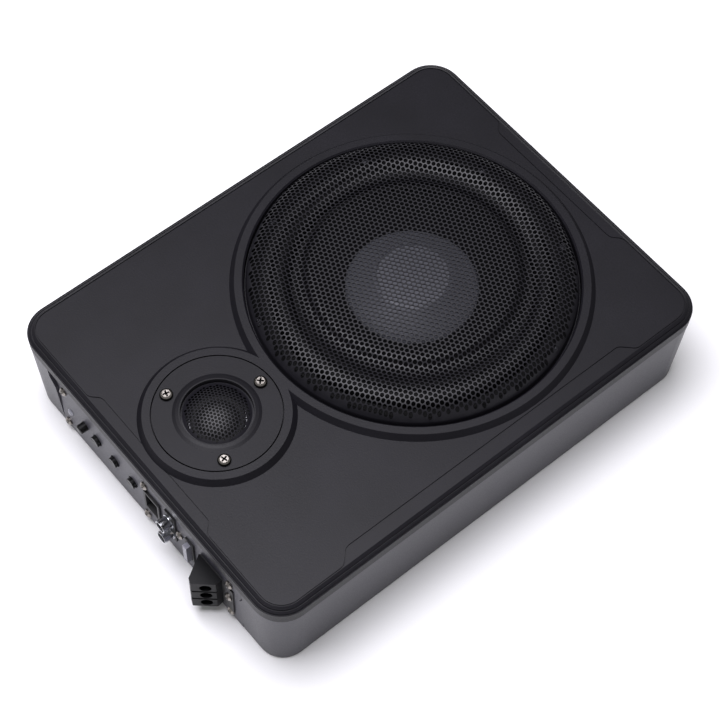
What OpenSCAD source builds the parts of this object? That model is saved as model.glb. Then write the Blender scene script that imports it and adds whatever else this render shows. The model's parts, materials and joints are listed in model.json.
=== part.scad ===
// Powered under-seat car subwoofer with a tweeter and a built-in amplifier.
// Origin: centre of the underside, on the plane that the feet stand on. +Z up.
// X runs along the case, and the control panel is on the -X side.

/* [Case] */
// Length of the case
case_l = 330; // [326:1:340]
// Width of the case
case_w = 251; // [248:1:262]
// Height of the case from its underside to the top plate
case_h = 69.5; // [69:0.5:74]
// Radius of the upright corners at the widest level
corner_r = 20; // [18:0.5:22]
// Wall thickness of the tray and the cover
wall = 3; // [2.5:0.1:3.2]
// How far the walls lean in at the bottom
lean = 3.7; // [2:0.1:4.5]
// How far the rubber feet stand out below the tray
foot_h = 1.5; // [1:0.5:3]

/* [Top cover] */
// Height of the sloping shoulder round the top plate
shoulder_h = 3; // [2:0.5:3.5]
// Width of the sloping shoulder, seen from above
shoulder_w = 4.8; // [4:0.2:6]
// Height of the upright skirt below the shoulder
skirt_h = 8; // [7:0.5:9]
// Thickness of the gasket between cover and tray
seal_t = 0.6; // [0.4:0.1:1]
// Width of the decorative grooves
groove_w = 0.7; // [0.5:0.1:1]
// Height of the raised figure-eight bezel
bezel_h = 3.6; // [3.4:0.2:4]
// Slope width at the edge of the bezel
bezel_slope = 3; // [2:0.5:3.5]

/* [Woofer] */
// Distance of the woofer's centre from the case centre
woofer_x = 39.3; // [38:0.1:41]
// Radius of the opening in the bezel round the woofer grille
woofer_lip_r = 101.5; // [101.5:0.5:102]
// Height of the grille's crown above the bezel
grille_rise = 10.6; // [10:0.2:12]
// Thickness of the grille sheet
grille_t = 1; // [0.8:0.1:1.2]
// Radius of the dust cap
cap_r = 40.6; // [38:0.2:41]
// Radius of the voice coil former
coil_r = 25; // [24.8:0.1:25.1]

/* [Tweeter] */
// Distance of the tweeter's centre from the case centre, towards the panel
tweeter_x = 108.8; // [108.4:0.1:109.2]
// Radius of the recess for the tweeter faceplate
tweeter_recess_r = 38.8; // [38.8:0.1:39.2]
// Radius of the circle of the faceplate screws
tweeter_screw_r = 31.8; // [31:0.2:32]

/* [Control panel] */
// Distance of the panel's outer face from the case centre
panel_x = 161.6; // [161.4:0.1:161.8]
// Thickness of the panel plate
panel_t = 2; // [1.8:0.1:2]
// Spacing of the three rotary controls
knob_pitch = 18; // [16:0.5:18]
// Radius of a rotary control
knob_r = 3.6; // [3.4:0.1:3.7]
// Outer radius of a line-input jack
rca_r = 4.15; // [4.1:0.05:4.2]
// Length of a line-input jack in front of its base
rca_l = 6; // [6:0.5:8]
// Radius of a cable hole in the terminal boot
cable_r = 3.6; // [3.4:0.1:3.7]
// Spacing of the cable holes, one above another
cable_pitch = 9.6; // [9.4:0.1:9.7]

/* [Hidden] */
$fn = 96;
eps = 0.01;
hx = case_l / 2;
hy = case_w / 2;
floor_z = foot_h;
floor_top = floor_z + wall;
top_z = foot_h + case_h;
edge_z = top_z - shoulder_h;
part_z = edge_z - skirt_h;
tray_z = part_z - seal_t;
bezel_z = top_z + bezel_h;
plate_t = 2.5;
skirt_in = 0.3;
tray_in = 0.5;

// Bolts that hold the cover, from below
cover_bolts = [[-148, -108.5], [-148, 108.5], [148, -108.5], [148, 108.5], [-45, -114], [-45, 114]];
bolt_r = 1.9;
bolt_hole_r = 2.2;
bolt_head_r = 3.6;
bolt_head_h = 2.5;
pilot_r = 1.95;
boss_r = 5;
// Tapped holes for the seat brackets
bracket_x = 125;
bracket_y = 104;
bracket_r = 2.1;
bracket_depth = 8;
foot_x = 140;
foot_y = 80;
foot_r = 9;
foot_places = concat([[0, 0]], [for (sx = [-1, 1], sy = [-1, 1]) [sx * foot_x, sy * foot_y]]);

// Woofer levels and radii
woofer_cut_r = 91;
seat_z = bezel_z - 10.1;
flange_t = 2.5;
flange_r = woofer_lip_r + 0.2;
flange_top = seat_z + flange_t;
gasket_t = 1.6;
rim_z = flange_top + gasket_t;
surround_r = 80;
roll_r = 7;
rubber_t = 0.9;
cone_r = 74;
cone_z = flange_top + 0.2;
cap_z = bezel_z - 9.6;
cap_step_r = 22.5;
cap_step_z = bezel_z + 3.2;
spider_z = 48;
gap_plate_z = 30;
gap_plate_t = 6;
magnet_r = 58;
yoke_z = 7.5;
yoke_t = 6.5;
shelf_top = 46.5;
woofer_bolts = 8;
woofer_bolt_r = 97;
spokes = 8;

// Tweeter levels
plate_z = bezel_z - 3;
mesh_z = bezel_z - 2.6;
mesh_r = 20.2;
mesh_rise = 7;
tweeter_seat_z = bezel_z - 8.6;
dome_r = 12.7;
motor_z = tweeter_seat_z - 3;

// Panel: every place is [y, z] on the panel's face
panel_in = panel_x - panel_t;
panel_foot = floor_z + 0.7;
panel_half = 89.5;
panel_flare = 4;
flare_z = 42.5;
flare_h = 8;
panel_bolts = [for (y = [83.5, 2.5, -78.5], z = [43.5, 8]) [y, z]];
control_z = 28;
knob_ys = [for (i = [0:2]) 51.7 - i * knob_pitch];
knob_out = 2.4;
button_at = [64, 28.6];
button_r = 3.1;
button_out = 4.6;
led_at = [79.7, 23.6];
socket_at = [-4.8, 29.8];
socket_size = [15, 19];
rca_at = [-22.8, 31.9];
rca_pitch = 14;
rca_zs = [rca_at[1] + rca_pitch / 2, rca_at[1] - rca_pitch / 2];
rca_base = [9.8, 27];
rca_base_x = panel_x + 1.2;
rca_rim = 0.5;
rca_bolt = [-31, 31.6];
fuse_at = [-41, 28];
fuse_size = [8, 22];
block_y = -62;
block_size = [17, 26.4];
block_plate = [31, 27.2];
block_plate_y = -66.4;
// How far back the parts behind the panel reach
switch_back = 149;
switch_face = 155.6;
shaft_back = 152;
pot_back = 150;
pot_h = 21.4;
socket_back = 151;
pin_back = 153;
rca_back = 148;
fuse_back = 149;
blade_back = 154;
block_back = 149;
clamp_x = panel_x + 3;
boot_top = 40;
cable_zs = [for (i = [0:2]) boot_top - 5.5 - i * cable_pitch];
boot_foot = cable_zs[2] - 5.2;
boot_wall = 5.5;
boot_bolt = [-78.5, 28.5];
// Outline of the terminal boot from above, from the panel outwards
boot_outline = [[-panel_x, -50.7], [-176.5, -59.3], [-178, -62.7], [-167.1, -72.4], [-panel_x, -72]];
boot_edge = boot_outline[3] - boot_outline[2];
boot_face = boot_outline[2] + 0.58 * boot_edge;
boot_turn = atan2(boot_edge[1], boot_edge[0]) - 90;

// Amplifier board
board_x0 = -155.5;
board_x1 = -76;
board_y = 96;
board_z = 10;
board_t = 1.6;
board_top = board_z + board_t;
board_bolts = [[-148, -90], [-148, 90], [-84, -92], [-84, 92], [-116, -30], [-116, 30]];

// ---------- shared shapes ----------

// Rounded block whose four walls lean: inset in0 at z0 and in1 at z1
module rounded_block(z0, z1, in0, in1) {
    cx = hx - corner_r;
    cy = hy - corner_r;
    for (sx = [-1, 1], sy = [-1, 1])
        translate([sx * cx, sy * cy, z0])
            cylinder(h = z1 - z0, r1 = corner_r - in0, r2 = corner_r - in1);
    rotate([90, 0, 90])
        translate([0, 0, -cx])
            linear_extrude(2 * cx)
                polygon([[in0 - hy, z0], [hy - in0, z0], [hy - in1, z1], [in1 - hy, z1]]);
    rotate([90, 0, 0])
        translate([0, 0, -cy])
            linear_extrude(2 * cy)
                polygon([[in0 - hx, z0], [hx - in0, z0], [hx - in1, z1], [in1 - hx, z1]]);
}

// Upright ring between two insets of the rounded case outline
module outline_ring(z0, z1, in_outer, in_inner) {
    difference() {
        rounded_block(z0, z1, in_outer, in_outer);
        rounded_block(z0 - 1, z1 + 1, in_inner, in_inner);
    }
}

module ring(z0, z1, r_out, r_in) {
    translate([0, 0, z0])
        difference() {
            cylinder(h = z1 - z0, r = r_out);
            translate([0, 0, -1]) cylinder(h = z1 - z0 + 2, r = r_in);
        }
}

module disc(z0, z1, r0, r1) {
    translate([0, 0, z0]) cylinder(h = z1 - z0, r1 = r0, r2 = r1);
}

module at_woofer() {
    translate([woofer_x, 0, 0]) children();
}

module at_tweeter() {
    translate([-tweeter_x, 0, 0]) children();
}

// Places children on the panel side: local +Z points out of the panel, origin at x = -from
module on_panel(at, from = 0) {
    translate([-from, at[0], at[1]]) rotate([0, -90, 0]) children();
}

// Box on the panel side, centred on [y, z], from depth x0 out to x1
module panel_box(at, size, x0, x1) {
    translate([-x1, at[0] - size[0] / 2, at[1] - size[1] / 2]) cube([x1 - x0, size[0], size[1]]);
}

// Pan-head cross-slot screw, head above z = 0 and shank below
module pan_screw(head_r, head_h, shank_r, shank_l) {
    slot = head_r * 0.28;
    difference() {
        union() {
            cylinder(h = head_h * 0.45, r = head_r);
            translate([0, 0, head_h * 0.45]) cylinder(h = head_h * 0.55, r1 = head_r, r2 = head_r * 0.62);
            translate([0, 0, -shank_l]) cylinder(h = shank_l + eps, r = shank_r);
        }
        for (turn = [45, 135])
            rotate([0, 0, turn])
                translate([-head_r * 0.55, -slot / 2, head_h * 0.15])
                    cube([head_r * 1.1, slot, head_h]);
    }
}

// Sheet of thickness t below the line of [r, z] points, turned about Z
module turned_sheet(line, t) {
    below = [for (i = [len(line) - 1:-1:0]) [line[i][0], line[i][1] - t]];
    rotate_extrude() polygon(concat(line, below));
}

function unit(v) = v / norm(v);
function tangent(path, i) = unit(path[min(i + 1, len(path) - 1)] - path[max(i - 1, 0)]);

// Round tube along a path that never runs along the vector "side"
module tube(path, r, side = [0, 0, 1]) {
    sides = 8;
    count = len(path);
    rings = [for (i = [0:count - 1])
        let (t = tangent(path, i), u = unit(cross(t, side)), v = cross(t, u))
            for (k = [0:sides - 1]) path[i] + r * (cos(k * 360 / sides) * u + sin(k * 360 / sides) * v)];
    walls = [for (i = [0:count - 2], k = [0:sides - 1])
        let (a = i * sides + k, b = i * sides + (k + 1) % sides) [a, b, b + sides, a + sides]];
    first = [for (k = [sides - 1:-1:0]) k];
    last = [for (k = [0:sides - 1]) (count - 1) * sides + k];
    polyhedron(rings, concat(walls, [first, last]));
}

// Points of a cubic curve through two ends and two handles
function curve(a, b, c, d, n) =
    [for (i = [0:n]) let (t = i / n, s = 1 - t)
        s * s * s * a + 3 * s * s * t * b + 3 * s * t * t * c + t * t * t * d];

// ---------- case ----------

// Outline in [y, z] of the panel (gap > 0), or of its recess (gap = 0).
// The recess runs out at the top and the bottom.
module panel_outline(gap) {
    half = panel_half - gap;
    wide = panel_half + panel_flare - gap;
    bottom = gap == 0 ? -1 : panel_foot;
    top = gap == 0 ? tray_z + 1 : tray_z - gap;
    polygon([[-half, bottom], [half, bottom], [half, flare_z], [wide, flare_z + flare_h], [wide, top],
             [-wide, top], [-wide, flare_z + flare_h], [-half, flare_z]]);
}

// Children in [y, z] extruded along X from x0 out to x1
module panel_extrude(x0, x1) {
    translate([-x1, 0, 0]) rotate([90, 0, 90]) linear_extrude(x1 - x0) children();
}

module base_housing() color([0.36, 0.36, 0.39]) difference() {
    frame_x = 156;
    union() {
        difference() {
            rounded_block(floor_z, tray_z, lean, tray_in);
            rounded_block(floor_top, tray_z + 1, lean + wall - 0.1, tray_in + wall);
        }
        // tongue inside the cover's skirt
        outline_ring(tray_z - 4, tray_z + 3.6, wall + 0.6, wall + 2.2);
        // frame behind the control panel
        translate([-panel_in, -97, floor_z + 1]) cube([panel_in - frame_x, 194, tray_z - floor_z - 1]);
        for (p = cover_bolts) translate([p[0], p[1], floor_z]) cylinder(h = tray_z - floor_z, r = boss_r);
        for (sx = [-1, 1], sy = [-1, 1])
            translate([sx * bracket_x, sy * bracket_y, floor_z]) cylinder(h = bracket_depth + 2, r = 6);
    }
    panel_extrude(panel_in, panel_x + 10) panel_outline(0);
    // window behind the panel, with a tab for the middle screw
    panel_extrude(frame_x - 1, panel_x)
        difference() {
            translate([-76, 11]) square([152, 41]);
            translate([-1, 40.5]) square([7, 12]);
        }
    on_panel(led_at, frame_x - 1) cylinder(h = 10, r = 3);
    for (p = concat(panel_bolts, [boot_bolt])) on_panel(p, frame_x - 1) cylinder(h = 10, r = 1.35);
    for (p = cover_bolts) translate([p[0], p[1], floor_z - 1]) {
        cylinder(h = tray_z, r = bolt_hole_r);
        cylinder(h = 4.5, r = 4.2);
    }
    for (sx = [-1, 1], sy = [-1, 1])
        translate([sx * bracket_x, sy * bracket_y, floor_z - 1])
            cylinder(h = bracket_depth + 1, r = bracket_r);
    for (p = foot_places) translate([p[0], p[1], floor_z - 1]) cylinder(h = 2, r = foot_r + 0.2);
}

module rubber_feet() color([0.08, 0.08, 0.08])
    for (p = foot_places)
        translate([p[0], p[1], 0]) {
            cylinder(h = 0.8, r1 = foot_r - 0.8, r2 = foot_r);
            translate([0, 0, 0.8]) cylinder(h = floor_z + 0.2, r = foot_r);
        }

// Corner b between a and c, rounded off over a length t
function round_corner(a, b, c, t) =
    let (p = b + t * unit(a - b), q = b + t * unit(c - b))
    [for (u = [0:0.25:1]) (1 - u) * (1 - u) * p + 2 * u * (1 - u) * b + u * u * q];

// Open line with its inner corners rounded off
function rounded_line(line, t) =
    [for (i = [1:len(line) - 2]) each round_corner(line[i - 1], line[i], line[i + 1], t)];

// Closed line of the top groove, moved inwards by d
function jog(d) = 0.414 * d;
function quarter(cx, cy, r, from) = [for (a = [from:7.5:from + 90]) [cx + r * cos(a), cy + r * sin(a)]];
groove_round = 2.5;
function groove_line(d) =
    let (x1 = hx - shoulder_w - d, y1 = hy - shoulder_w - d,
         x2 = x1 - 5.8, y2 = y1 - 8.2,
         r = corner_r - shoulder_w - d, cx = x1 - r, cy = y1 - r,
         long1 = 112 + jog(d), long2 = long1 - 8.2, short1 = 57 + jog(d), short2 = short1 - 5.8)
    concat(
        quarter(cx, cy, r, 0), quarter(-cx, cy, r, 90),
        rounded_line([[-x1, cy], [-x1, short1], [-x2, short2], [-x2, -short2], [-x1, -short1], [-x1, -cy]],
                     groove_round),
        quarter(-cx, -cy, r, 180),
        rounded_line([[-cx, -y1], [-long1, -y1], [-long2, -y2], [long2, -y2], [long1, -y1], [cx, -y1]],
                     groove_round),
        quarter(cx, -cy, r, 270),
        rounded_line([[x1, -cy], [x1, -short1], [x2, -short2], [x2, short2], [x1, short1], [x1, cy]],
                     groove_round));

module top_groove() {
    translate([0, 0, top_z - 0.7])
        linear_extrude(1)
            difference() {
                polygon(groove_line(0.2));
                polygon(groove_line(0.2 + groove_w));
            }
}

module shoulder_groove(inset) {
    depth = 0.7;
    surface = top_z - shoulder_h * (shoulder_w - inset) / shoulder_w;
    outline_ring(surface - depth, top_z, inset - groove_w / 2, inset + groove_w / 2);
}

module top_cover() color([0.21, 0.21, 0.23]) difference() {
    rim_r = woofer_lip_r + 6;
    tweeter_rim_r = tweeter_recess_r + 4.8;
    union() {
        difference() {
            union() {
                rounded_block(part_z, edge_z, skirt_in, 0);
                rounded_block(edge_z, top_z, 0, shoulder_w);
            }
            rounded_block(part_z - 1, top_z - plate_t, wall, wall);
        }
        // seats of the two drivers, below the top plate
        at_woofer() disc(seat_z - 3.5, top_z, rim_r + 1, rim_r + 1);
        at_tweeter() disc(top_z - 5, top_z, tweeter_rim_r, tweeter_rim_r);
        // raised figure-eight bezel
        at_woofer() disc(top_z - 1, bezel_z, rim_r + bezel_slope * (1 + 1 / bezel_h), rim_r);
        at_tweeter() disc(top_z - 1, bezel_z, tweeter_rim_r + bezel_slope * (1 + 1 / bezel_h), tweeter_rim_r);
        for (p = cover_bolts) translate([p[0], p[1], part_z]) cylinder(h = top_z - 1 - part_z, r = boss_r);
    }
    at_woofer() {
        disc(0, bezel_z + 1, woofer_cut_r, woofer_cut_r);
        disc(seat_z, bezel_z + 1, flange_r + 0.2, flange_r + 0.2);
        disc(bezel_z - 1, bezel_z + eps, flange_r + 0.2, flange_r + 1.2);
        for (k = [0:woofer_bolts - 1])
            rotate([0, 0, (k + 0.5) * 360 / woofer_bolts])
                translate([woofer_bolt_r, 0, seat_z - 3]) cylinder(h = 4, r = pilot_r);
    }
    at_tweeter() {
        disc(0, bezel_z, 27, 27);
        disc(plate_z, bezel_z + 1, tweeter_recess_r, tweeter_recess_r);
        for (k = [0:2])
            rotate([0, 0, k * 120])
                translate([tweeter_screw_r, 0, plate_z - 5]) cylinder(h = 6, r = pilot_r);
    }
    top_groove();
    shoulder_groove(shoulder_w - 2.1);
    shoulder_groove(shoulder_w - 4.2);
    for (p = cover_bolts) translate([p[0], p[1], part_z - 1]) cylinder(h = 9, r = pilot_r);
}

module cover_seal() color([0.05, 0.05, 0.05])
    outline_ring(tray_z, part_z, 0.7, wall + 0.4);

module cover_screws() color([0.25, 0.25, 0.27])
    for (p = cover_bolts)
        translate([p[0], p[1], floor_z + 3.5])
            rotate([180, 0, 0]) pan_screw(bolt_head_r, bolt_head_h, bolt_r, part_z - floor_z + 3.5);

// ---------- woofer ----------

// Upper line of the pressed grille, as [r, z]
function grille_line() =
    let (b = bezel_z, h = grille_rise)
    [[flange_r - 0.4, rim_z + grille_t], [100.7, rim_z + grille_t], [100.4, rim_z + 2], [100.2, b],
     [99.3, b + 3.4], [97, b + 6.4], [93.8, b + 8.7],
     [89.6, b + h - 0.6], [86, b + h - 0.1], [82, b + h - 0.1],
     [79, b + h - 0.6], [76.5, b + h - 1.7], [74.6, b + h - 2.7], [72, b + h - 3.1],
     [68, b + h - 3.1], [66, b + h - 2.5], [64.2, b + h - 1], [62.4, b + h - 0.3], [58, b + h - 0.1],
     [40, b + h], [0, b + h + 0.2]];

module woofer_grille() color([0.13, 0.13, 0.14]) at_woofer() turned_sheet(grille_line(), grille_t);

module grille_gasket() color([0.06, 0.06, 0.06]) at_woofer() difference() {
    ring(flange_top, rim_z, flange_r - 0.3, 93.2);
    for (k = [0:woofer_bolts - 1])
        rotate([0, 0, (k + 0.5) * 360 / woofer_bolts])
            translate([woofer_bolt_r, 0, flange_top - 1]) cylinder(h = 4, r = 3.4);
}

module woofer_basket() color([0.1, 0.1, 0.11]) at_woofer() difference() {
    foot_top = gap_plate_z + gap_plate_t + 2.5;
    union() {
        ring(seat_z, flange_top, flange_r, 87.5);
        // sloping wall from the flange to the motor
        difference() {
            disc(foot_top - 2.5, seat_z + eps, 51, 90.5);
            disc(foot_top - 2.5 - eps, seat_z + 1, 48, 88.5);
        }
        ring(foot_top - 2.5, foot_top, 51, 30);
        ring(shelf_top - 2.5, shelf_top, 62, 52.4);
        // pad for the terminal strip
        translate([-85, -12, 47.5]) cube([23, 24, 2.5]);
    }
    // slot for the braided leads
    translate([-90, -10, 50]) cube([28, 20, 6]);
    for (k = [0:spokes - 1])
        rotate([0, 0, (k + 0.5) * 360 / spokes])
            translate([62.5, -14, shelf_top + 1]) cube([40, 28, seat_z - shelf_top - 4]);
    for (k = [0:woofer_bolts - 1])
        rotate([0, 0, (k + 0.5) * 360 / woofer_bolts])
            translate([woofer_bolt_r, 0, seat_z - 1]) cylinder(h = 5, r = bolt_hole_r);
}

module woofer_screws() color([0.2, 0.2, 0.2]) at_woofer()
    for (k = [0:woofer_bolts - 1])
        rotate([0, 0, (k + 0.5) * 360 / woofer_bolts])
            translate([woofer_bolt_r, 0, flange_top]) pan_screw(3, 1.5, bolt_r, flange_t + 2.6);

module woofer_surround() color([0.07, 0.07, 0.07]) at_woofer() {
    inner = roll_r - rubber_t;
    rotate_extrude() union() {
        translate([surround_r, flange_top + 0.2])
            difference() {
                circle(r = roll_r);
                circle(r = inner);
                translate([-roll_r - 1, -roll_r - 1]) square([2 * roll_r + 2, roll_r + 1]);
            }
        translate([surround_r + inner, flange_top]) square([92.6 - surround_r - inner, rubber_t]);
        translate([70, flange_top + 0.2]) square([surround_r - inner - 70, rubber_t]);
    }
}

module woofer_cone() color([0.1, 0.1, 0.1]) at_woofer()
    turned_sheet([[cone_r, cone_z], [58, cone_z - 1.6], [cap_r, cap_z - 0.7], [32, cap_z - 3],
                  [coil_r + 0.35, cap_z - 5]], 1.2);

module dust_cap() color([0.62, 0.63, 0.65]) at_woofer()
    turned_sheet([[cap_r, cap_z], [39.6, cap_z + 1.4], [37, cap_z + 3.6], [32, cap_z + 7],
                  [27, cap_z + 10.2], [24, cap_z + 12.1], [cap_step_r, cap_step_z],
                  [cap_step_r - 0.8, cap_step_z - 0.9], [12, cap_step_z - 0.5], [0, cap_step_z - 0.3]], 0.7);

module coil_former() color([0.72, 0.6, 0.35]) at_woofer() ring(26.5, cap_z - 5, coil_r + 0.35, coil_r);

module coil_winding() color([0.7, 0.4, 0.2]) at_woofer() ring(27, 39, coil_r + 1.15, coil_r + 0.35);

module woofer_spider() color([0.75, 0.62, 0.3]) at_woofer() {
    waves = 3;
    inner_r = coil_r + 0.5;
    outer_r = 52;
    step = (outer_r - inner_r) / (waves * 8);
    turned_sheet(concat(
        [for (i = [0:waves * 8]) [inner_r + i * step, spider_z - 0.7 + 1.3 * sin(i * 45)]],
        [[60, spider_z - 0.7]]), 0.8);
}

module woofer_top_plate() color([0.6, 0.6, 0.62]) at_woofer()
    ring(gap_plate_z, gap_plate_z + gap_plate_t, 50, coil_r + 1.6);

module woofer_magnet() color([0.16, 0.16, 0.17]) at_woofer() ring(yoke_z + yoke_t, gap_plate_z, magnet_r, 32);

module woofer_yoke() color([0.6, 0.6, 0.62]) at_woofer() difference() {
    pole_r = coil_r - 0.5;
    union() {
        disc(yoke_z, yoke_z + yoke_t, 54, 54);
        disc(yoke_z, gap_plate_z + gap_plate_t + 1, pole_r, pole_r);
    }
    disc(yoke_z - 1, gap_plate_z + gap_plate_t + 2, 8, 8);
}

module woofer_terminals() color([0.55, 0.4, 0.15]) at_woofer() {
    translate([-84, -11, 50]) cube([9, 22, 1.2]);
    for (y = [-7, 7]) translate([-90, y - 1.6, 51.2]) cube([12, 3.2, 0.6]);
}

module tinsel_leads() color([0.8, 0.5, 0.25]) at_woofer()
    for (y = [-7, 7])
        tube(curve([-77, y, 52.1], [-66, y, 51.5], [-60, y, 54], [-52, y, cone_z - 4], 12), 0.6, [0, 1, 0]);

// ---------- tweeter ----------

module tweeter_faceplate() color([0.2, 0.2, 0.22]) at_tweeter() difference() {
    lip_r = 21.5;
    union() {
        disc(plate_z, bezel_z, tweeter_recess_r - 0.8, tweeter_recess_r - 0.8);
        disc(tweeter_seat_z - 3, plate_z, 26.5, 26.5);
        disc(bezel_z - eps, bezel_z + 0.8, lip_r + 4.6, lip_r + 2.6);
        disc(bezel_z + 0.8 - eps, bezel_z + 1.3, lip_r + 2.6, lip_r + 0.8);
    }
    disc(mesh_z, bezel_z + 2, lip_r, lip_r);
    disc(tweeter_seat_z, mesh_z + 1, 20.2, 20.2);
    disc(tweeter_seat_z - 4, tweeter_seat_z + 1, 17, 17);
    for (k = [0:2])
        rotate([0, 0, k * 120])
            translate([tweeter_screw_r, 0, plate_z - 1]) cylinder(h = 6, r = bolt_hole_r);
}

// Upper line of the domed cover: a flat rim, then an arc
module tweeter_mesh() color([0.12, 0.12, 0.13]) at_tweeter() {
    sphere_r = (mesh_r * mesh_r + mesh_rise * mesh_rise) / (2 * mesh_rise);
    half = asin(mesh_r / sphere_r);
    rim_top = mesh_z + 0.7;
    centre = rim_top - sphere_r * cos(half);
    turned_sheet(concat(
        [[21.2, rim_top]],
        [for (i = [8:-1:0]) let (a = half * i / 8) [sphere_r * sin(a), centre + sphere_r * cos(a)]]), 0.7);
}

module tweeter_dome() color([0.06, 0.06, 0.07]) at_tweeter() {
    z = tweeter_seat_z + 0.6;
    edge = 54;
    rise = 6 / (1 - cos(edge));
    turned_sheet(concat(
        [[16.4, z - 0.1], [15.6, z + 0.5], [14.4, z + 0.7], [13.2, z + 0.3]],
        [for (i = [6:-1:0])
            let (a = i * edge / 6) [dome_r * sin(a) / sin(edge), z + rise * (cos(a) - cos(edge))]]),
        0.4);
}

module tweeter_coil() color([0.7, 0.4, 0.2]) at_tweeter()
    ring(motor_z - 2.5, tweeter_seat_z + 0.2, dome_r, dome_r - 0.4);

module tweeter_top_plate() color([0.6, 0.6, 0.62]) at_tweeter() ring(motor_z - 3, motor_z, 24, dome_r + 0.5);

module tweeter_magnet() color([0.16, 0.16, 0.17]) at_tweeter() ring(motor_z - 9, motor_z - 3, 25, 16);

module tweeter_yoke() color([0.6, 0.6, 0.62]) at_tweeter() {
    disc(motor_z - 12.5, motor_z - 9, 23, 23);
    disc(motor_z - 12.5, motor_z, dome_r - 0.9, dome_r - 0.9);
}

module tweeter_screws() color([0.85, 0.85, 0.87]) at_tweeter()
    for (k = [0:2])
        rotate([0, 0, k * 120])
            translate([tweeter_screw_r, 0, bezel_z]) pan_screw(4, 2.3, bolt_r, 7.5);

// ---------- control panel ----------

module control_panel() color([0.33, 0.33, 0.36]) difference() {
    panel_extrude(panel_in, panel_x) panel_outline(0.3);
    for (p = panel_bolts) on_panel(p, panel_in - 1) cylinder(h = 4, r = 1.7);
    for (y = knob_ys) on_panel([y, control_z], panel_in - 1) cylinder(h = 4, r = knob_r + 0.7);
    on_panel(button_at, panel_in - 1) cylinder(h = 4, r = button_r + 0.3);
    on_panel(led_at, panel_in - 1) cylinder(h = 4, r = 2.55);
    for (p = [rca_bolt, boot_bolt]) on_panel(p, panel_in - 1) cylinder(h = 4, r = 1.35);
    panel_box(socket_at, [socket_size[0] - 1, socket_size[1] - 1], panel_in - 1, panel_x + 1);
    panel_box(rca_at, [rca_base[0] - 1, rca_base[1] - 1], panel_in - 1, panel_x + 1);
    panel_box(fuse_at, [fuse_size[0] - 1, fuse_size[1] - 1], panel_in - 1, panel_x + 1);
    panel_box([block_y, cable_zs[1]], block_size, panel_in - 1, panel_x + 1);
}

module panel_screws() color([0.85, 0.85, 0.87])
    for (p = panel_bolts) on_panel(p, panel_x) pan_screw(2.9, 2, 1.3, 5);

module power_led() color([0.9, 0.92, 0.95]) {
    on_panel(led_at, panel_in - 4) {
        cylinder(h = 6.2, r = 2.5);
        translate([0, 0, 3]) cylinder(h = 1, r = 2.9);
        translate([0, 0, 6.2]) cylinder(h = 1, r1 = 2.5, r2 = 1.5);
    }
    // two legs down to the board
    for (y = [-1.3, 1.3]) translate([4 - panel_in, led_at[0] + y - 0.25, 0]) {
        translate([-eps, 0, led_at[1]]) cube([2.5, 0.5, 0.5]);
        translate([2, 0, board_top]) cube([0.5, 0.5, led_at[1] - board_top + 0.5]);
    }
}

module phase_button() color([0.06, 0.06, 0.06]) on_panel(button_at, 0) {
    tip = panel_x + button_out;
    collar = panel_in - 1.4;
    translate([0, 0, collar]) cylinder(h = 1, r = button_r + 1);
    translate([0, 0, collar - 3.7]) cylinder(h = 4, r = 2);
    translate([0, 0, collar + 0.8]) cylinder(h = tip - collar - 0.8, r = button_r);
    translate([0, 0, tip]) cylinder(h = 0.6, r1 = button_r, r2 = button_r - 0.6);
}

module phase_switch() color([0.1, 0.1, 0.12]) difference() {
    panel_box([button_at[0], 22.5], [9, 21.8], switch_back, switch_face);
    on_panel(button_at, shaft_back) cylinder(h = 6, r = 2.2);
}

// Rotary control: fluted cap with a pointer slot, and the shaft behind it
module rotary_knob(y) color([0.06, 0.06, 0.06]) on_panel([y, control_z], 0) {
    back = panel_in + 0.4;
    face = panel_x + knob_out;
    flutes = 14;
    difference() {
        translate([0, 0, back]) cylinder(h = face - back, r = knob_r);
        for (k = [0:flutes - 1])
            rotate([0, 0, k * 360 / flutes])
                translate([knob_r + 0.25, 0, back + 1]) cylinder(h = 6, r = 0.55);
        translate([-0.35, 0, face - 0.6]) cube([0.7, knob_r + 1, 1]);
    }
    translate([0, 0, shaft_back]) cylinder(h = back - shaft_back + eps, r = 1.5);
}

module level_knob() rotary_knob(knob_ys[0]);
module crossover_knob() rotary_knob(knob_ys[1]);
module boost_knob() rotary_knob(knob_ys[2]);

module potentiometers() color([0.15, 0.3, 0.2])
    for (y = knob_ys)
        difference() {
            panel_box([y, board_top + pot_h / 2], [10, pot_h], pot_back, panel_in - 0.2);
            on_panel([y, control_z], shaft_back - 0.5) cylinder(h = 10, r = 1.56);
        }

module input_socket() color([0.07, 0.07, 0.07]) difference() {
    union() {
        panel_box(socket_at, socket_size, panel_x, panel_x + 1.5);
        panel_box(socket_at, [socket_size[0] - 1.4, socket_size[1] - 1.4], socket_back, panel_x + eps);
    }
    panel_box(socket_at, [socket_size[0] - 3.6, socket_size[1] - 3.6], pin_back, panel_x + 2);
}

module socket_pins() color([0.8, 0.7, 0.4])
    for (y = [-2.6, 2.6], z = [-4, 4])
        on_panel([socket_at[0] + y, socket_at[1] + z], pin_back) cylinder(h = 6.5, r = 0.8);

module rca_housing() color([0.06, 0.06, 0.06]) difference() {
    union() {
        panel_box(rca_at, rca_base, panel_x, rca_base_x);
        panel_box(rca_at, [rca_base[0] - 1.4, rca_base[1] - 1.4], rca_back, panel_x + eps);
    }
    for (z = rca_zs) on_panel([rca_at[0], z], rca_base_x - 3) cylinder(h = 6, r = rca_r);
}

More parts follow.
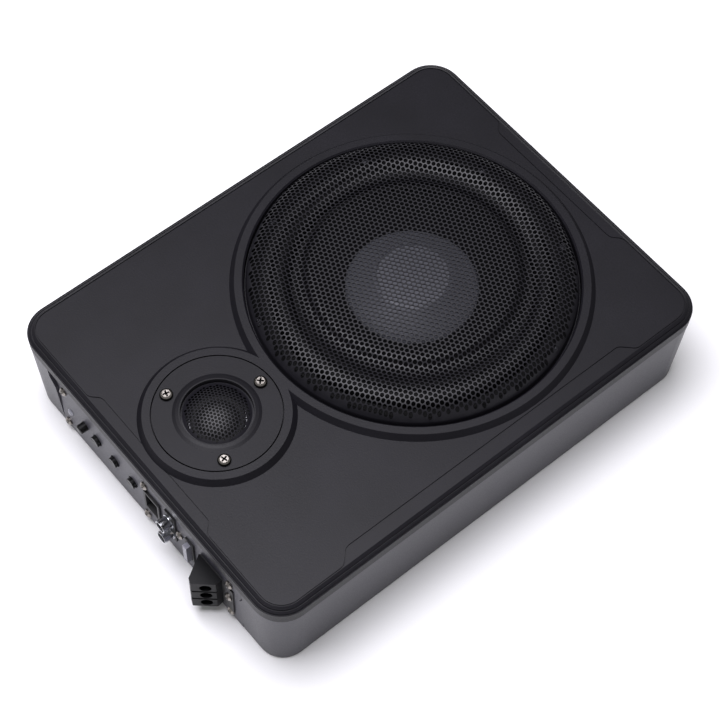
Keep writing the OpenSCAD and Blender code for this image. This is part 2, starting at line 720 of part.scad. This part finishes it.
module rca_shells() color([0.88, 0.88, 0.9])
    for (z = rca_zs)
        on_panel([rca_at[0], z], 0) {
            ring(rca_base_x - 3, rca_base_x + 1, rca_r, 3.5);
            ring(rca_base_x, rca_base_x + 1, rca_r + rca_rim, rca_r - 0.2);
            ring(rca_base_x + 1 - eps, rca_base_x + 1 + rca_l, rca_r, 3.5);
        }

module rca_insulators() color([0.12, 0.12, 0.12])
    for (z = rca_zs)
        on_panel([rca_at[0], z], 0) ring(rca_base_x - 3, rca_base_x + rca_l - 0.8, 3.5, 2.1);

module rca_contacts() color([0.6, 0.55, 0.45])
    for (z = rca_zs)
        on_panel([rca_at[0], z], 0) ring(rca_base_x - 3, rca_base_x + rca_l - 1.6, 2.1, 1.62);

module rca_screw() color([0.85, 0.85, 0.87]) on_panel(rca_bolt, panel_x) pan_screw(2.8, 2, 1.3, 5);

module fuse_holder() color([0.07, 0.07, 0.07]) difference() {
    union() {
        panel_box(fuse_at, fuse_size, panel_x, panel_x + 1.2);
        panel_box(fuse_at, [fuse_size[0] - 1.4, fuse_size[1] - 1.4], fuse_back, panel_x + eps);
    }
    panel_box(fuse_at, [fuse_size[0] - 3, fuse_size[1] - 3], blade_back, panel_x + 2);
}

module blade_fuse() color([0.6, 0.6, 0.64]) {
    body_back = blade_back + 3.5;
    panel_box(fuse_at, [3.6, 18.2], body_back, panel_x + 4.5);
    for (z = [-6.2, 6.2]) panel_box([fuse_at[0], fuse_at[1] + z], [0.8, 5], blade_back, body_back + 0.5);
}

module terminal_block() color([0.07, 0.07, 0.07]) {
    difference() {
        panel_box([block_plate_y, cable_zs[1]], block_plate, panel_x, panel_x + 1);
        on_panel(boot_bolt, panel_x - 1) cylinder(h = 3, r = 1.35);
    }
    middle = [block_y, cable_zs[1]];
    panel_box(middle, [block_size[0] - 0.4, block_size[1] - 0.4], block_back, panel_x + 0.5);
    difference() {
        panel_box(middle, [block_size[0] - 3, block_size[1] - 0.8], panel_x + 0.5, clamp_x);
        for (z = cable_zs) on_panel([block_y, z], clamp_x - 2.2) cylinder(h = 3, r = 1.55);
    }
}

module terminal_clamps() color([0.85, 0.85, 0.87])
    for (z = cable_zs) on_panel([block_y, z], clamp_x) pan_screw(3.2, 1.6, 1.5, 2);

module terminal_boot() color([0.09, 0.09, 0.1]) difference() {
    cavity_x = panel_x + 5.4;
    translate([0, 0, boot_foot])
        linear_extrude(boot_top - boot_foot)
            polygon([for (p = boot_outline) p[0] > -162 ? [-panel_x - 1, p[1]] : p]);
    // room for the terminal block and its clamps
    panel_box([block_y, cable_zs[1]], [block_size[0] - 2.4, block_size[1] - 0.2], panel_x, cavity_x);
    translate([boot_face[0], boot_face[1], cable_zs[2] - 4.2])
        rotate([0, 0, boot_turn])
            translate([-boot_wall - 4, -5, 0]) cube([4, 10, 2 * cable_pitch + 8.4]);
    for (z = cable_zs)
        translate([boot_face[0], boot_face[1], z])
            rotate([0, 90, boot_turn])
                translate([0, 0, -boot_wall - 1]) cylinder(h = boot_wall + 3, r = cable_r);
    // grooves between the three cable sleeves
    for (i = [0:1])
        translate([boot_face[0], boot_face[1], cable_zs[i] - cable_pitch / 2])
            rotate([0, 0, boot_turn])
                translate([-0.9, -14, 0]) rotate([0, 45, 0]) cube([1.3, 28, 1.3]);
}

module boot_screw() color([0.85, 0.85, 0.87]) on_panel(boot_bolt, panel_x + 1) pan_screw(2.8, 1.9, 1.3, 5.5);

// ---------- amplifier ----------

module amp_board() color([0.1, 0.35, 0.2]) difference() {
    translate([board_x0, -board_y, board_z]) cube([board_x1 - board_x0, 2 * board_y, board_t]);
    for (p = board_bolts) translate([p[0], p[1], board_z - 1]) cylinder(h = 4, r = 1.7);
}

module board_standoffs() color([0.7, 0.62, 0.35])
    for (p = board_bolts)
        translate([p[0], p[1], floor_top])
            difference() {
                cylinder(h = board_z - floor_top, r = 3, $fn = 6);
                translate([0, 0, 1]) cylinder(h = 6, r = 1.35);
            }

module board_screws() color([0.8, 0.8, 0.82])
    for (p = board_bolts) translate([p[0], p[1], board_top]) pan_screw(2.8, 1.8, 1.3, 5);

module heat_sink() color([0.7, 0.71, 0.73]) difference() {
    fins = 12;
    pitch = 14.5;
    translate([-92, -88, board_top]) cube([14, 176, 24]);
    for (i = [0:fins - 1])
        translate([-88, (i - (fins - 1) / 2) * pitch - 5.5, board_top + 5]) cube([12, 11, 20]);
}

module power_transistors() color([0.08, 0.08, 0.09])
    for (y = [-66, -30, 30, 66])
        translate([-96.6, y - 5, board_top + 3]) {
            cube([4.6, 10, 15]);
            for (k = [-2.5, 0, 2.5]) translate([1.6, 5 + k - 0.4, -3]) cube([0.6, 0.8, 3.5]);
        }

module capacitors() color([0.12, 0.13, 0.3])
    for (p = [[-112, 78], [-112, 58], [-134, -78], [-112, -78]])
        translate([p[0], p[1], board_top]) {
            cylinder(h = 24, r = 8);
            translate([0, 0, 24]) cylinder(h = 0.6, r = 7);
        }

module toroid_choke() color([0.75, 0.45, 0.2])
    translate([-128, -45, board_top + 6]) rotate_extrude() translate([11, 0]) circle(r = 6);

module speaker_wires() color([0.6, 0.1, 0.1]) {
    for (y = [-7, 7])
        tube(curve([-104, y, board_top + 0.9], [-104, y, 52], [-92, y, 52.7], [woofer_x - 85.3, y, 52.7], 18),
             0.9, [0, 1, 0]);
    for (y = [-5, 5])
        tube(curve([-140, y, board_top + 0.9], [-124, y, board_top + 6],
                   [-118, y, 40], [-114, y, motor_z - 13.4], 14),
             0.8, [0, 1, 0]);
}

base_housing();
top_cover();
cover_seal();
rubber_feet();
cover_screws();
woofer_grille();
grille_gasket();
woofer_basket();
woofer_screws();
woofer_surround();
woofer_cone();
dust_cap();
coil_former();
coil_winding();
woofer_spider();
woofer_top_plate();
woofer_magnet();
woofer_yoke();
woofer_terminals();
tinsel_leads();
tweeter_faceplate();
tweeter_mesh();
tweeter_dome();
tweeter_coil();
tweeter_top_plate();
tweeter_magnet();
tweeter_yoke();
tweeter_screws();
control_panel();
panel_screws();
power_led();
phase_button();
phase_switch();
level_knob();
crossover_knob();
boost_knob();
potentiometers();
input_socket();
socket_pins();
rca_housing();
rca_shells();
rca_insulators();
rca_contacts();
rca_screw();
fuse_holder();
blade_fuse();
terminal_block();
terminal_clamps();
terminal_boot();
boot_screw();
amp_board();
board_standoffs();
board_screws();
heat_sink();
power_transistors();
capacitors();
toroid_choke();
speaker_wires();
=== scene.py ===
"""Looks for the powered car subwoofer: perforated grilles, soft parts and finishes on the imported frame."""

import json
import math

import bpy
from mathutils import Matrix, Vector


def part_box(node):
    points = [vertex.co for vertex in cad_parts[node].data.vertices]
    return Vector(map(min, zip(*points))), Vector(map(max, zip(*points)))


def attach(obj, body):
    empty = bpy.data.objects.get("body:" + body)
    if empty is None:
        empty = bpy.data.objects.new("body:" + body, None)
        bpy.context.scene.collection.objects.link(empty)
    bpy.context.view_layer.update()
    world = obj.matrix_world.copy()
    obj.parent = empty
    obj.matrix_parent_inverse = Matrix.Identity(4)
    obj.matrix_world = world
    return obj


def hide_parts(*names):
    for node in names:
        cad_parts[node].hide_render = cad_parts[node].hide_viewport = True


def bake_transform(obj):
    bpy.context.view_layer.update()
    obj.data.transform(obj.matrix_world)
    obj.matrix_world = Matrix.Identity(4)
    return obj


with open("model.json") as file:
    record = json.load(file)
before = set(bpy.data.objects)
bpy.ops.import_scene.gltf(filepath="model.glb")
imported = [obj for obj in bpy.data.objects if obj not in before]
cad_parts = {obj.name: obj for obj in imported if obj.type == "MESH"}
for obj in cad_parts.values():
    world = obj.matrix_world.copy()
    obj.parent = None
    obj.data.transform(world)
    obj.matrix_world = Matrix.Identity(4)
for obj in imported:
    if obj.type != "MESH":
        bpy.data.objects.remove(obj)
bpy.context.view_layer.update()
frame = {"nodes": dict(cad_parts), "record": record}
MM = 0.001


# ---------- colours and materials ----------

def linear(colour):
    """An sRGB colour in 0-255 steps as the linear RGBA that shaders take."""
    steps = [c / 255 for c in colour]
    return [s / 12.92 if s <= 0.04045 else ((s + 0.055) / 1.055) ** 2.4 for s in steps] + [1.0]


def scaled(colour, factor):
    return [min(1.0, c * factor) for c in colour[:3]] + [1.0]


class Shader:
    """A node material on object coordinates, which are the row frame in metres."""

    def __init__(self, name):
        self.material = bpy.data.materials.new(name)
        self.material.use_nodes = True
        self.tree = self.material.node_tree
        self.bsdf = self.tree.nodes["Principled BSDF"]
        self.coordinates = self.tree.nodes.new("ShaderNodeTexCoord").outputs["Object"]

    def node(self, kind, inputs=None, **settings):
        made = self.tree.nodes.new(kind)
        for key, value in settings.items():
            setattr(made, key, value)
        for key, value in (inputs or {}).items():
            self.feed(made.inputs[key], value)
        return made

    def feed(self, socket, value):
        if isinstance(value, bpy.types.NodeSocket):
            self.tree.links.new(value, socket)
        else:
            socket.default_value = value

    def set(self, **values):
        for key, value in values.items():
            self.feed(self.bsdf.inputs[key.replace("_", " ")], value)

    def stretched(self, scale):
        return self.node("ShaderNodeMapping", {"Vector": self.coordinates, "Scale": scale}).outputs["Vector"]

    def noise(self, size, detail=2.0, vector=None):
        """Noise whose blobs are about size metres across."""
        return self.node("ShaderNodeTexNoise",
                         {"Vector": vector or self.coordinates, "Scale": 1 / size, "Detail": detail},
                         ).outputs["Fac"]

    def between(self, factor, low, high, start=0.3, end=0.7):
        """low to high as factor runs from start to end."""
        return self.node("ShaderNodeMapRange",
                         {"Value": factor, "From Min": start, "From Max": end, "To Min": low, "To Max": high},
                         ).outputs["Result"]

    def blend(self, factor, first, second):
        mix = self.node("ShaderNodeMix", data_type="RGBA")
        for socket, value in ((mix.inputs[0], factor), (mix.inputs[6], first), (mix.inputs[7], second)):
            self.feed(socket, value)
        return mix.outputs[2]

    def bump(self, height, depth, strength=1.0, under=None):
        inputs = {"Height": height, "Distance": depth, "Strength": strength}
        if under is not None:
            inputs["Normal"] = under
        return self.node("ShaderNodeBump", inputs).outputs["Normal"]


def finish(name, colour, roughness, metallic=0.0, grain=0.6, depth=0.02, tone=0.08, brush=None,
           specular=0.5):
    """A finish with grain of that size and depth in mm; brush stretches the grain along X, Y and Z."""
    shader = Shader(name)
    base = linear(colour)
    vector = shader.stretched(brush) if brush else None
    fine = shader.noise(grain * MM, 3.0, vector)
    broad = shader.noise(40 * MM, 2.0)
    shade = shader.blend(shader.between(broad, 0.0, 1.0), scaled(base, 1 - tone), scaled(base, 1 + tone))
    speckle = shader.blend(shader.between(fine, 0.0, 1.0), scaled(base, 1 - tone), shade)
    shader.set(Base_Color=speckle, Metallic=metallic, Specular_IOR_Level=specular,
               Roughness=shader.between(fine, roughness * 0.9, min(1.0, roughness * 1.1)),
               Normal=shader.bump(fine, depth * MM))
    return shader.material


def screw_head_with_painted_shade(name, colour, roughness):
    """Plated steel with painted shade: near black in the cross recesses and on the lower sides of the upright
    screws on the tweeter's plate.
    """
    shader = Shader(name)
    base = linear(colour)
    height = shader.node("ShaderNodeSeparateXYZ", {0: shader.coordinates}).outputs["Z"]
    above = shader.between(height, 0.0, 1.0, RECESS_SHADE_Z[0] * MM, RECESS_SHADE_Z[1] * MM)
    plate = shader.node("ShaderNodeMath", {0: height, 1: PLATE_Z * MM}, operation="LESS_THAN").outputs[0]
    outside_painted_shade = shader.node("ShaderNodeMath", {0: above, 1: plate}, operation="MAXIMUM").outputs[0]
    fine = shader.noise(1.5 * MM)
    tone = shader.blend(shader.between(fine, 0.0, 1.0), scaled(base, 0.94), base)
    # painted shade: the base colour goes almost black between PLATE_Z and the recess band, standing in for
    # shade in the cross recesses and on the heads' lower sides
    shader.set(Base_Color=shader.blend(outside_painted_shade, scaled(base, 0.02), tone), Metallic=1.0,
               Roughness=shader.between(fine, roughness * 0.9, roughness * 1.1))
    return shader.material


def woven(name, colour, pitch, roughness=0.85):
    """Cloth: two crossed sets of threads."""
    shader = Shader(name)
    base = linear(colour)
    threads = []
    for direction in ("X", "Y"):
        wave = shader.node("ShaderNodeTexWave", {"Vector": shader.coordinates, "Scale": 0.3 / (pitch * MM)},
                           bands_direction=direction)
        threads.append(wave.outputs["Fac"])
    cross = shader.node("ShaderNodeMath", {0: threads[0], 1: threads[1]}, operation="MULTIPLY").outputs[0]
    shader.set(Base_Color=shader.blend(cross, scaled(base, 0.7), scaled(base, 1.15)), Roughness=roughness,
               Normal=shader.bump(cross, 0.1 * MM))
    return shader.material


SCREW_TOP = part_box("tweeter_screws")[1][2] / MM
SCREW_HEAD_H = 2.3
# heights of the screws' painted shade: none below PLATE_Z, full below the recess band, fading out across it
PLATE_Z = SCREW_TOP - SCREW_HEAD_H - 1
RECESS_SHADE_Z = (SCREW_TOP - 0.9, SCREW_TOP - 0.6)
FINISHES = {
    "case_paint": finish("case_paint", (52, 51, 59), 0.4, grain=0.9, depth=0.05, tone=0.12, specular=0.4),
    "cover_paint": finish("cover_paint", (23, 22, 27), 0.45, grain=0.9, depth=0.08, tone=0.3, specular=0.2),
    "seal_rubber": finish("seal_rubber", (10, 10, 11), 0.8, specular=0.1),
    "foot_rubber": finish("foot_rubber", (30, 30, 31), 0.8, grain=1.2, depth=0.08),
    "bolt_steel": finish("bolt_steel", (70, 70, 74), 0.4, 0.9, grain=0.4),
    "grille_paint": finish("grille_paint", (27, 26, 31), 0.4, grain=0.3, depth=0.01, specular=0.33),
    "basket_paint": finish("basket_paint", (8, 8, 9), 0.6, grain=0.5, depth=0.03, specular=0.1),
    "surround_rubber": finish("surround_rubber", (8, 8, 9), 0.55, grain=0.5, depth=0.02, specular=0.1),
    "cone_paper": finish("cone_paper", (6, 6, 7), 0.8, grain=1.5, depth=0.08, tone=0.2, specular=0.08),
    "cap_metal": finish("cap_metal", (86, 87, 94), 0.42, 0.2, grain=2.0, depth=0.004, tone=0.04),
    "former_film": finish("former_film", (186, 160, 98), 0.4, grain=1.0),
    "copper": finish("copper", (184, 106, 58), 0.35, 0.9, grain=0.5, brush=(1, 1, 8)),
    "spider_cloth": woven("spider_cloth", (190, 160, 84), 0.6),
    "plated_steel": finish("plated_steel", (168, 168, 172), 0.35, 0.95, grain=0.6),
    "ferrite": finish("ferrite", (52, 52, 55), 0.6, 0.2, grain=0.8, depth=0.05),
    "terminal_board": finish("terminal_board", (140, 104, 48), 0.6, grain=0.5),
    "faceplate_metal": finish("faceplate_metal", (19, 18, 23), 0.45, grain=0.7, depth=0.05, tone=0.25,
                              specular=0.2),
    "dome_cloth": woven("dome_cloth", (8, 8, 9), 0.35, 0.6),
    "screw_chrome": screw_head_with_painted_shade("screw_chrome", (150, 145, 139), 0.3),
    "panel_paint": finish("panel_paint", (62, 61, 70), 0.42, grain=0.9, depth=0.05, tone=0.12),
    "led_lens": finish("led_lens", (150, 151, 160), 0.25, grain=2.0, depth=0.01),
    "control_plastic": finish("control_plastic", (8, 8, 9), 0.35, grain=0.4, depth=0.01),
    "switch_plastic": finish("switch_plastic", (20, 20, 22), 0.6),
    "pot_body": finish("pot_body", (34, 72, 50), 0.5),
    "black_nylon": finish("black_nylon", (24, 24, 25), 0.5, grain=0.5, depth=0.02),
    "contact_brass": finish("contact_brass", (150, 140, 118), 0.3, 1.0, grain=0.5, depth=0.004),
    "jack_chrome": finish("jack_chrome", (222, 224, 228), 0.14, 1.0, grain=1.5, depth=0.003, tone=0.03),
    "insulator": finish("insulator", (40, 40, 42), 0.5, grain=0.6),
    "fuse_plastic": finish("fuse_plastic", (140, 140, 150), 0.3, grain=1.0, depth=0.01),
    "boot_rubber": finish("boot_rubber", (9, 9, 12), 0.45, grain=0.7, depth=0.02, specular=0.15),
    "board_laminate": finish("board_laminate", (26, 78, 44), 0.4, grain=3.0, tone=0.2),
    "standoff_brass": finish("standoff_brass", (190, 168, 98), 0.3, 1.0),
    "board_screw_steel": finish("board_screw_steel", (190, 190, 195), 0.3, 1.0),
    "sink_aluminium": finish("sink_aluminium", (180, 182, 188), 0.35, 1.0, grain=0.5, brush=(1, 1, 0.1)),
    "chip_epoxy": finish("chip_epoxy", (28, 28, 30), 0.6),
    "can_sleeve": finish("can_sleeve", (34, 38, 84), 0.35),
    "wire_jacket": finish("wire_jacket", (150, 26, 26), 0.4),
}
SLOT_OF = {part["node"]: part["material_slot"] for part in frame["record"]["subparts"]}


def paint(obj, slot):
    obj.data.materials.clear()
    obj.data.materials.append(FINISHES[slot])


for node_name, cad_node in frame["nodes"].items():
    if node_name in SLOT_OF:
        paint(cad_node, SLOT_OF[node_name])


# ---------- geometry helpers ----------

def mesh_piece(name, vertices, faces, smooth_angle=40):
    mesh = bpy.data.meshes.new(name)
    mesh.from_pydata(vertices, [], faces)
    mesh.validate()
    mesh.update()
    piece = bpy.data.objects.new(name, mesh)
    bpy.context.scene.collection.objects.link(piece)
    mesh.polygons.foreach_set("use_smooth", [True] * len(mesh.polygons))
    mesh.set_sharp_from_angle(angle=math.radians(smooth_angle))
    return piece


def stand_for(piece, node, body):
    """The piece takes over from that CAD node: its finish, its body and its place in the picture."""
    paint(piece, SLOT_OF[node])
    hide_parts(node)
    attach(piece, body)


def height_on(profile, radius):
    """Height of a turned profile, a list of (radius, height) from the rim inwards, at one radius."""
    for (r1, h1), (r2, h2) in zip(profile, profile[1:]):
        if r2 <= radius <= r1:
            return h1 + (h2 - h1) * (r1 - radius) / (r1 - r2)
    return profile[0][1] if radius > profile[0][0] else profile[-1][1]


def smooth_profile(points, rounds=2):
    """Corner cutting: each round replaces each corner of the line by two points."""
    for _ in range(rounds):
        cut = [points[0]]
        for a, b in zip(points, points[1:]):
            cut.append(tuple(0.75 * p + 0.25 * q for p, q in zip(a, b)))
            cut.append(tuple(0.25 * p + 0.75 * q for p, q in zip(a, b)))
        points = cut + [points[-1]]
    return points


def perforated_dome(name, centre, profile, pitch, hole, edge, turn, thickness):
    """A turned sheet with round holes in a hexagonal pattern, as its upper face and the holes' walls.

    All sizes are in mm. profile is (radius, height) from the rim inwards, and edge is the radius where the
    perforated part ends.
    """
    vertices = []
    faces = []
    index = {}

    def vertex(x, y):
        radius = math.hypot(x, y)
        if radius > edge:
            x, y, radius = x * edge / radius, y * edge / radius, edge
        key = (round(x, 3), round(y, 3))
        if key not in index:
            index[key] = len(vertices)
            vertices.append(((centre[0] + x) * MM, (centre[1] + y) * MM, height_on(profile, radius) * MM))
        return index[key]

    corner = pitch / math.sqrt(3)
    rows = int(edge / (pitch * 0.866)) + 2
    columns = int(edge / pitch) + 2
    spin = math.radians(turn)
    for row in range(-rows, rows + 1):
        for column in range(-columns, columns + 1):
            across = (column + 0.5 * (row % 2)) * pitch
            along = row * pitch * math.sqrt(3) / 2
            x = across * math.cos(spin) - along * math.sin(spin)
            y = across * math.sin(spin) + along * math.cos(spin)
            distance = math.hypot(x, y)
            if distance > edge + corner:
                continue
            around = [spin + math.radians(30 + 30 * k) for k in range(12)]
            outer = [vertex(x + corner * math.cos(a), y + corner * math.sin(a)) for a in around[::2]]
            if distance > edge - corner:
                faces.append(outer)
                continue
            inner = [vertex(x + hole * math.cos(a), y + hole * math.sin(a)) for a in around]
            wall = len(vertices)
            for number in inner:
                px, py, pz = vertices[number]
                vertices.append((px, py, pz - thickness * MM))
            for k in range(12):
                after = (k + 1) % 12
                faces.append((inner[after], inner[k], wall + k, wall + after))
            for k in range(6):
                here, middle, after = inner[2 * k], inner[2 * k + 1], inner[(2 * k + 2) % 12]
                faces.append((outer[k], outer[(k + 1) % 6], middle))
                faces.append((outer[k], middle, here))
                faces.append((outer[(k + 1) % 6], after, middle))
    faces = [face for face in faces if len(set(face)) == len(face)]
    # plain rim outside the perforated part
    steps = 180
    rim = [(edge, height_on(profile, edge))] + [p for p in reversed(profile) if p[0] > edge + 0.01]
    first = len(vertices)
    for radius, height in rim:
        for k in range(steps):
            angle = 2 * math.pi * k / steps
            vertices.append(((centre[0] + radius * math.cos(angle)) * MM,
                             (centre[1] + radius * math.sin(angle)) * MM, height * MM))
    for ring in range(len(rim) - 1):
        for k in range(steps):
            a = first + ring * steps + k
            b = first + ring * steps + (k + 1) % steps
            faces.append((a, a + steps, b + steps, b))
    return mesh_piece(name, vertices, faces, 50)


# ---------- grilles ----------

def middle_of(node):
    low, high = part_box(node)
    return [(low[k] + high[k]) / 2 / MM for k in range(2)]


def top_of(node):
    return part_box(node)[1][2] / MM


MESH_TURN = 5
BEZEL_Z = SCREW_TOP - SCREW_HEAD_H
woofer_centre = middle_of("woofer_grille")
crown = top_of("woofer_grille") - BEZEL_Z
GRILLE_PROFILE = smooth_profile([
    (101.3, -5), (100.7, -5), (100.4, -4), (100.2, -0.5), (98.9, 2.7), (96.4, 5.8), (93.2, 8.2), (89.4, 9.8),
    (86, 10.4), (82, 10.5), (79, 10), (76.5, 8.9), (74.6, 7.9), (72, 7.5), (68, 7.5), (66, 8.1), (64.2, 9.6),
    (62.4, 10.3), (58, 10.5), (40, 10.6), (0, crown)])
grille = perforated_dome(
    "woofer_grille_mesh", woofer_centre, [(r, BEZEL_Z + h) for r, h in GRILLE_PROFILE],
    pitch=3.12, hole=1.32, edge=99.9, turn=MESH_TURN, thickness=0.8)
stand_for(grille, "woofer_grille", "case")

tweeter_centre = middle_of("tweeter_faceplate")
mesh_top = top_of("tweeter_mesh")
MESH_R = 20.2
MESH_RISE = 7.0
sphere_r = (MESH_R ** 2 + MESH_RISE ** 2) / (2 * MESH_RISE)
dome_line = []
for step in range(13):
    r = MESH_R * (1 - step / 12)
    dome_line.append((r, mesh_top - sphere_r + math.sqrt(sphere_r ** 2 - r ** 2)))
mesh = perforated_dome(
    "tweeter_dome_mesh", tweeter_centre, [(21.2, mesh_top - MESH_RISE)] + dome_line,
    pitch=2.25, hole=0.9, edge=20.1, turn=MESH_TURN, thickness=0.4)
stand_for(mesh, "tweeter_mesh", "case")


# ---------- soft parts around the cone, cut into pieces ---

def turned_sector(name, centre, loop, start, end, steps=6):
    """Part of a turned ring: loop is its closed section as (radius, height) in mm, angles in degrees."""
    vertices = []
    for k in range(steps + 1):
        angle = math.radians(start + (end - start) * k / steps)
        for radius, height in loop:
            vertices.append(((centre[0] + radius * math.cos(angle)) * MM,
                             (centre[1] + radius * math.sin(angle)) * MM, height * MM))
    count = len(loop)
    faces = []
    for k in range(steps):
        for i in range(count):
            a, b = k * count + i, k * count + (i + 1) % count
            faces.append((a, b, b + count, a + count))
    return mesh_piece(name, vertices, faces, 50)


def bending_ring(node, loop, sectors=12):
    """A soft ring built as separate sectors around the woofer's axis."""
    spread = 360 / sectors
    for number in range(sectors):
        piece = turned_sector(f"{node}_{number}", woofer_centre, loop, number * spread, (number + 1) * spread)
        paint(piece, SLOT_OF[node])
        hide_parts(node)
        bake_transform(piece)


def sheet_loop(line, thickness):
    return line + [(r, h - thickness) for r, h in reversed(line)]


def surround():
    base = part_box("woofer_surround")[0][2] / MM
    roll = 7.0
    middle = 80.0
    line = [(92.6, base + 0.9), (middle + roll, base + 0.9)]
    for step in range(1, 16):
        angle = math.pi * step / 16
        line.append((middle + roll * math.cos(angle), base + 0.5 + roll * math.sin(angle)))
    line += [(middle - roll, base + 1.1), (70, base + 1.1)]
    bending_ring("woofer_surround", sheet_loop(line, 0.9))


def spider():
    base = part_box("woofer_spider")[0][2] / MM
    line = [(60, base + 1.5), (52.3, base + 1.5)]
    for step in range(1, 37):
        line.append((52.3 - 26.6 * step / 36, base + 2.2 + 0.9 * math.sin(step * math.pi / 6)))
    bending_ring("woofer_spider", sheet_loop(line, 0.7))


def tube(name, points, radius, sides=8):
    """A round tube through points in mm that all lie in one plane of constant Y."""
    vertices = []
    for number, point in enumerate(points):
        before, after = points[max(number - 1, 0)], points[min(number + 1, len(points) - 1)]
        along = Vector(after) - Vector(before)
        across = Vector((0, 1, 0))
        normal = along.normalized().cross(across)
        for k in range(sides):
            angle = 2 * math.pi * k / sides
            place = Vector(point) + radius * (math.cos(angle) * normal + math.sin(angle) * across)
            vertices.append(place * MM)
    faces = []
    for ring in range(len(points) - 1):
        for k in range(sides):
            a, b = ring * sides + k, ring * sides + (k + 1) % sides
            faces.append((a, b, b + sides, a + sides))
    faces.append(tuple(range(sides))[::-1])
    faces.append(tuple(range(len(vertices) - sides, len(vertices))))
    return mesh_piece(name, vertices, faces, 60)


def leads():
    low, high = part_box("tinsel_leads")
    first, last = low[0] / MM, high[0] / MM
    bottom, top = low[2] / MM + 0.8, high[2] / MM - 1
    for number, y in enumerate((low[1] / MM + 0.6, high[1] / MM - 0.6)):
        points = []
        for step in range(17):
            t = step / 16
            rise = t * t * (3 - 2 * t)
            points.append((first + (last - first) * t, y, bottom + (top - bottom) * rise))
        piece = tube(f"lead_{number}", points, 0.6)
        paint(piece, SLOT_OF["tinsel_leads"])
        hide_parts("tinsel_leads")
        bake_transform(piece)


surround()
spider()
leads()


# ---------- edges of the CAD parts ----------

def soften(node, width, segments=2, angle=35):
    """Small rounded edges on a CAD part."""
    obj = frame["nodes"][node]
    bevel = obj.modifiers.new("soft edges", "BEVEL")
    bevel.width = width * MM
    bevel.segments = segments
    bevel.limit_method = "ANGLE"
    bevel.angle_limit = math.radians(angle)
    bevel.harden_normals = True


soften("terminal_boot", 0.7, segments=3)


# ---------- floor, light and camera ----------

def area_light(name, place, target, size, power, colour=(1, 1, 1)):
    light = bpy.data.lights.new(name, "AREA")
    light.shape = "RECTANGLE"
    light.size, light.size_y = size
    light.energy = power
    light.color = colour
    obj = bpy.data.objects.new(name, light)
    obj.location = place
    obj.rotation_euler = (Vector(target) - Vector(place)).to_track_quat("-Z", "Y").to_euler()
    bpy.context.scene.collection.objects.link(obj)


def floor():
    half = 4.0
    piece = mesh_piece("floor", [(-half, -half, 0), (half, -half, 0), (half, half, 0), (-half, half, 0)],
                       [(0, 1, 2, 3)])
    piece.data.materials.append(finish("floor_paper", (252, 252, 252), 0.9, tone=0.01, depth=0.001))


def camera():
    azimuth, elevation, roll = (math.radians(a) for a in (-41.23, 59.17, 2.0))
    target = Vector((-20.8, -23.0, 71.0)) * MM
    back = Vector((math.sin(azimuth) * math.cos(elevation), -math.cos(azimuth) * math.cos(elevation),
                   math.sin(elevation)))
    level_right = Vector((math.cos(azimuth), math.sin(azimuth), 0))
    level_up = back.cross(level_right)
    right = math.cos(roll) * level_right + math.sin(roll) * level_up
    up = math.cos(roll) * level_up - math.sin(roll) * level_right
    data = bpy.data.cameras.new("camera")
    data.sensor_width = 36
    data.lens = 101.13
    obj = bpy.data.objects.new("camera", data)
    place = target + back * 1.1907
    obj.matrix_world = Matrix.Translation(place) @ Matrix((right, up, back)).transposed().to_4x4()
    bpy.context.scene.collection.objects.link(obj)
    bpy.context.scene.camera = obj


world = bpy.data.worlds.new("studio")
world.use_nodes = True
world.node_tree.nodes["Background"].inputs["Color"].default_value = (1, 1, 1, 1)
world.node_tree.nodes["Background"].inputs["Strength"].default_value = 0.3
bpy.context.scene.world = world
bpy.context.scene.view_settings.view_transform = "Standard"
# slightly violet, as the black paint looks under it
LIGHT_TINT = (0.98, 0.965, 1.035)
area_light("overhead", (-0.15, 0.15, 1.3), (0, 0, 0), (1.0, 1.0), 24, LIGHT_TINT)
floor()
camera()
